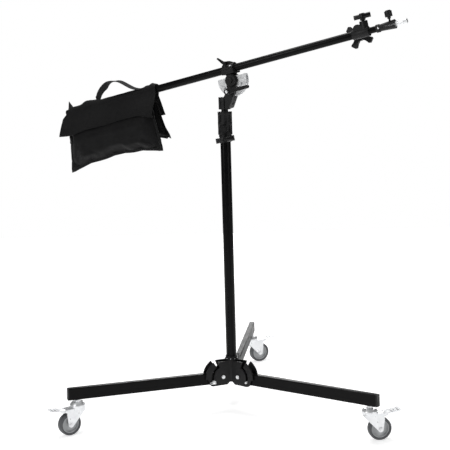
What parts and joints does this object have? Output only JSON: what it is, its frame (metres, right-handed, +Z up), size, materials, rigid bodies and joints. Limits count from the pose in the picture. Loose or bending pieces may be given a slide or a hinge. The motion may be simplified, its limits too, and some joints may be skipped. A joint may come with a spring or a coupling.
{
  "type": "boom stand",
  "caption": "Wheeled boom stand: three folding legs on braked casters, round column with a telescoping riser, tilting boom with a spigot, and a saddle sandbag as counterweight.",
  "frame": {"origin": "on the floor, under the middle of the overall box with the legs open and the boom as at rest", "axes": "+Z up along the column, +X to the right as seen from the front, +Y to the back; the boom points to the right and a little forward"},
  "size_m": [1.166, 0.958, 1.3428],
  "materials": {
    "black_tube": "black powder coat, satin",
    "black_casting": "black painted casting, fine texture",
    "black_steel": "black oxide and paint",
    "black_plastic": "moulded, lightly grained",
    "chromed_tube": "chromed",
    "polished_steel": "polished",
    "zinc_plate": "bright zinc plate",
    "wheel_grey": "moulded grey",
    "tyre_rubber": "dark grey tread",
    "bag_nylon": "coated black nylon weave",
    "bag_webbing": "black nylon webbing"
  },
  "bodies": {
    "base": {"hub_casting": "black_casting", "hub_ring": "black_casting", "ring_screws": "polished_steel", "leg_pivot_bolts": "polished_steel", "column_tube": "black_tube", "column_clamp": "black_casting"},
    "left_leg": {"left_leg_tube": "black_tube", "left_leg_fitting": "black_plastic", "left_leg_cap": "black_plastic", "left_caster_stem": "zinc_plate"},
    "left_pin": {"left_lock_pin": "polished_steel"},
    "left_caster": {"left_caster_fork": "zinc_plate", "left_caster_axle": "polished_steel"},
    "left_wheel": {"left_caster_wheel": "wheel_grey", "left_caster_tyre": "tyre_rubber"},
    "left_pedal": {"left_caster_pedal": "zinc_plate"},
    "right_leg": {"right_leg_tube": "black_tube", "right_leg_fitting": "black_plastic", "right_leg_cap": "black_plastic", "right_caster_stem": "zinc_plate"},
    "right_pin": {"right_lock_pin": "polished_steel"},
    "right_caster": {"right_caster_fork": "zinc_plate", "right_caster_axle": "polished_steel"},
    "right_wheel": {"right_caster_wheel": "wheel_grey", "right_caster_tyre": "tyre_rubber"},
    "right_pedal": {"right_caster_pedal": "zinc_plate"},
    "rear_leg": {"rear_leg_tube": "black_tube", "rear_leg_fitting": "black_plastic", "rear_leg_cap": "black_plastic", "rear_caster_stem": "zinc_plate"},
    "rear_pin": {"rear_lock_pin": "polished_steel"},
    "rear_caster": {"rear_caster_fork": "zinc_plate", "rear_caster_axle": "polished_steel"},
    "rear_wheel": {"rear_caster_wheel": "wheel_grey", "rear_caster_tyre": "tyre_rubber"},
    "rear_pedal": {"rear_caster_pedal": "zinc_plate"},
    "column_screw": {"column_t_screw": "black_steel"},
    "riser": {"riser_tube": "chromed_tube", "riser_head": "black_casting"},
    "riser_screw": {"riser_knob": "black_plastic"},
    "head": {"head_socket": "black_casting", "socket_screw": "black_steel", "tilt_bolt": "black_steel"},
    "tilt_handle": {"tilt_lever": "black_steel"},
    "boom_clamp": {"tilt_quadrants": "polished_steel", "boom_saddle": "black_casting", "boom_cap": "black_casting", "boom_cap_screws": "polished_steel"},
    "clamp_lever": {"boom_clamp_lever": "black_steel"},
    "boom": {"boom_tube": "black_tube", "boom_rear_plug": "black_plastic", "boom_end_clamp": "black_casting"},
    "boom_screw": {"boom_t_screw": "black_steel"},
    "star_knob": {"boom_star_knob": "black_plastic"},
    "inner_boom": {"boom_inner_tube": "black_tube", "boom_tip": "black_casting", "boom_spigot": "polished_steel"},
    "tip_screw": {"tip_knob": "black_plastic"},
    "bag": {"sandbag": "bag_nylon", "sandbag_handle": "bag_webbing"}
  },
  "joints": [
    {"name": "left_leg_fold", "type": "hinge", "parent": "base", "child": "left_leg", "pos_m": [-0.01813, -0.13448, 0.122], "axis": [-0.3811, 0.9245, 0], "range_deg": [0, 85]},
    {"name": "left_pin_pull", "type": "slide", "parent": "left_leg", "child": "left_pin", "axis": [0.3811, -0.9245, 0], "range_m": [0, 0.012], "stiffness_N_per_m": 300},
    {"name": "left_caster_swivel", "type": "hinge", "parent": "left_leg", "child": "left_caster", "pos_m": [-0.4915, -0.32959, 0.087], "axis": [0, 0, 1], "continuous": true},
    {"name": "left_wheel_spin", "type": "hinge", "parent": "left_caster", "child": "left_wheel", "pos_m": [-0.51803, -0.34748, 0.0375], "axis": [0.5592, -0.829, 0], "continuous": true},
    {"name": "left_pedal_press", "type": "hinge", "parent": "left_caster", "child": "left_pedal", "pos_m": [-0.52964, -0.35531, 0.085], "axis": [0.5592, -0.829, 0], "range_deg": [0, 8]},
    {"name": "right_leg_fold", "type": "hinge", "parent": "base", "child": "right_leg", "pos_m": [0.04727, -0.14297, 0.122], "axis": [-0.6046, -0.7965, 0], "range_deg": [0, 85]},
    {"name": "right_pin_pull", "type": "slide", "parent": "right_leg", "child": "right_pin", "axis": [0.6046, 0.7965, 0], "range_m": [0, 0.012], "stiffness_N_per_m": 300},
    {"name": "right_caster_swivel", "type": "hinge", "parent": "right_leg", "child": "right_caster", "pos_m": [0.45509, -0.45253, 0.087], "axis": [0, 0, 1], "continuous": true},
    {"name": "right_wheel_spin", "type": "hinge", "parent": "right_caster", "child": "right_wheel", "pos_m": [0.4865, -0.44642, 0.0375], "axis": [-0.1908, 0.9816, 0], "continuous": true},
    {"name": "right_pedal_press", "type": "hinge", "parent": "right_caster", "child": "right_pedal", "pos_m": [0.50025, -0.44375, 0.085], "axis": [-0.1908, 0.9816, 0], "range_deg": [0, 8]},
    {"name": "rear_leg_fold", "type": "hinge", "parent": "base", "child": "rear_leg", "pos_m": [0.02203, -0.08233, 0.122], "axis": [0.9912, -0.1323, 0], "range_deg": [0, 85]},
    {"name": "rear_pin_pull", "type": "slide", "parent": "rear_leg", "child": "rear_pin", "axis": [-0.9912, 0.1323, 0], "range_m": [0, 0.012], "stiffness_N_per_m": 300},
    {"name": "rear_caster_swivel", "type": "hinge", "parent": "rear_leg", "child": "rear_caster", "pos_m": [0.08974, 0.42517, 0.087], "axis": [0, 0, 1], "continuous": true},
    {"name": "rear_wheel_spin", "type": "hinge", "parent": "rear_caster", "child": "rear_wheel", "pos_m": [0.1192, 0.43767, 0.0375], "axis": [-0.3907, 0.9205, 0], "continuous": true},
    {"name": "rear_pedal_press", "type": "hinge", "parent": "rear_caster", "child": "rear_pedal", "pos_m": [0.13208, 0.44314, 0.085], "axis": [-0.3907, 0.9205, 0], "range_deg": [0, 8]},
    {"name": "column_screw_turn", "type": "hinge", "parent": "base", "child": "column_screw", "pos_m": [0.017, -0.156, 0.944], "axis": [0, -1, 0], "range_deg": [0, 180]},
    {"name": "riser_slide", "type": "slide", "parent": "base", "child": "riser", "axis": [0, 0, 1], "range_m": [0, 0.6]},
    {"name": "riser_knob_turn", "type": "hinge", "parent": "riser", "child": "riser_screw", "pos_m": [0.01439, -0.14989, 0.9763], "axis": [-0.0872, -0.9962, 0], "range_deg": [0, 180]},
    {"name": "head_pan", "type": "hinge", "parent": "riser", "child": "head", "pos_m": [0.017, -0.12, 1.0403], "axis": [0, 0, 1], "continuous": true},
    {"name": "tilt_handle_turn", "type": "hinge", "parent": "head", "child": "tilt_handle", "pos_m": [0.04818, -0.13589, 1.1], "axis": [-0.454, -0.891, 0], "range_deg": [0, 150]},
    {"name": "boom_tilt", "type": "hinge", "parent": "head", "child": "boom_clamp", "pos_m": [0.04818, -0.13589, 1.136], "axis": [-0.454, -0.891, 0], "range_deg": [-57, 17]},
    {"name": "clamp_lever_turn", "type": "hinge", "parent": "boom_clamp", "child": "clamp_lever", "pos_m": [0.0224, -0.14408, 1.18088], "axis": [-0.1944, 0.099, 0.9759], "range_deg": [0, 90]},
    {"name": "boom_slide", "type": "slide", "parent": "boom_clamp", "child": "boom", "axis": [0.8695, -0.4431, 0.2181], "range_m": [-0.2, 0.06]},
    {"name": "boom_screw_turn", "type": "hinge", "parent": "boom", "child": "boom_screw", "pos_m": [0.4569, -0.34414, 1.29797], "axis": [-0.1944, 0.099, 0.9759], "range_deg": [0, 180]},
    {"name": "star_knob_turn", "type": "hinge", "parent": "boom", "child": "star_knob", "pos_m": [0.43857, -0.31235, 1.27059], "axis": [0.454, 0.891, 0], "range_deg": [0, 180]},
    {"name": "inner_boom_slide", "type": "slide", "parent": "boom", "child": "inner_boom", "axis": [0.8695, -0.4431, 0.2181], "range_m": [0, 0.4]},
    {"name": "tip_knob_turn", "type": "hinge", "parent": "inner_boom", "child": "tip_screw", "pos_m": [0.52908, -0.38092, 1.31607], "axis": [-0.1944, 0.099, 0.9759], "range_deg": [0, 180]},
    {"name": "sandbag_slide", "type": "slide", "parent": "boom", "child": "bag", "axis": [-0.8695, 0.4431, -0.2181], "range_m": [-0.15, 0.03]}
  ]
}
